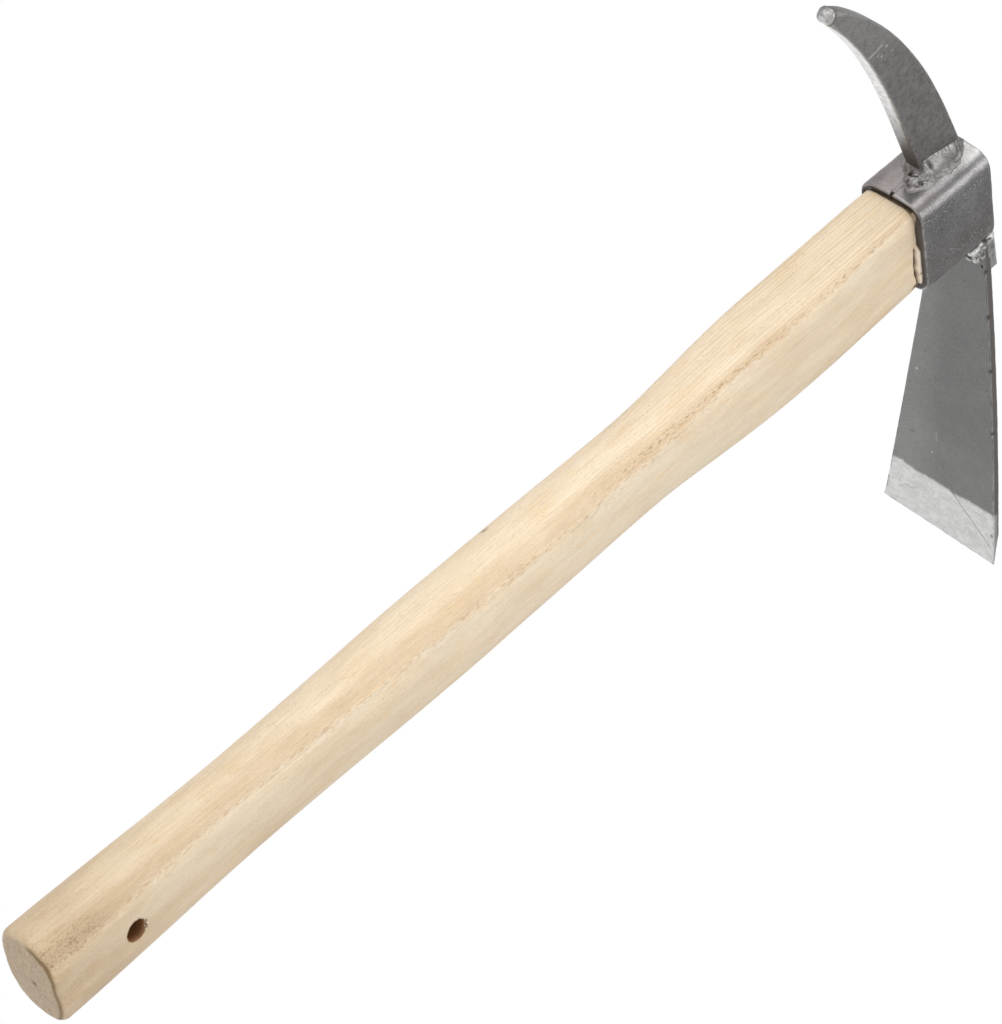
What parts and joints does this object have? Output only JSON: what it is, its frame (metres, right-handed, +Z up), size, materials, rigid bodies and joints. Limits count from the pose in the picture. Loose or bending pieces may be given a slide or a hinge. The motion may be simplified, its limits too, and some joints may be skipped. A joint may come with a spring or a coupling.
{
  "type": "adze",
  "caption": "Hand adze: ash handle wedged in a welded steel socket, with a flared cutting blade below and a curved pick above.",
  "frame": {"origin": "centre of the head's front face, on the axis of the eye", "axes": "+X out of the front of the head, +Y to the user's left, +Z up towards the pick"},
  "size_m": [0.4442, 0.0539, 0.2834],
  "materials": {
    "ash_wood": "sanded pale ash with a thin satin wax",
    "wedge_wood": "raw hardwood end grain",
    "socket_steel": "hot-formed plate, rubbed bright on its folds",
    "blade_steel": "smooth grey plate with a ground bright edge",
    "pick_steel": "dark mottled bar, rubbed bright on its inner edge",
    "weld_metal": "rippled, pitted weld bead with bright spatter",
    "wedge_steel": "dull hammered steel"
  },
  "bodies": {
    "root": {"handle": "ash_wood", "socket": "socket_steel", "seam_weld": "weld_metal", "blade": "blade_steel", "pick": "pick_steel", "pick_weld": "weld_metal", "blade_weld_rear": "weld_metal", "blade_weld_front": "weld_metal", "wood_wedge": "wedge_wood", "steel_wedge": "wedge_steel"}
  },
  "joints": []
}
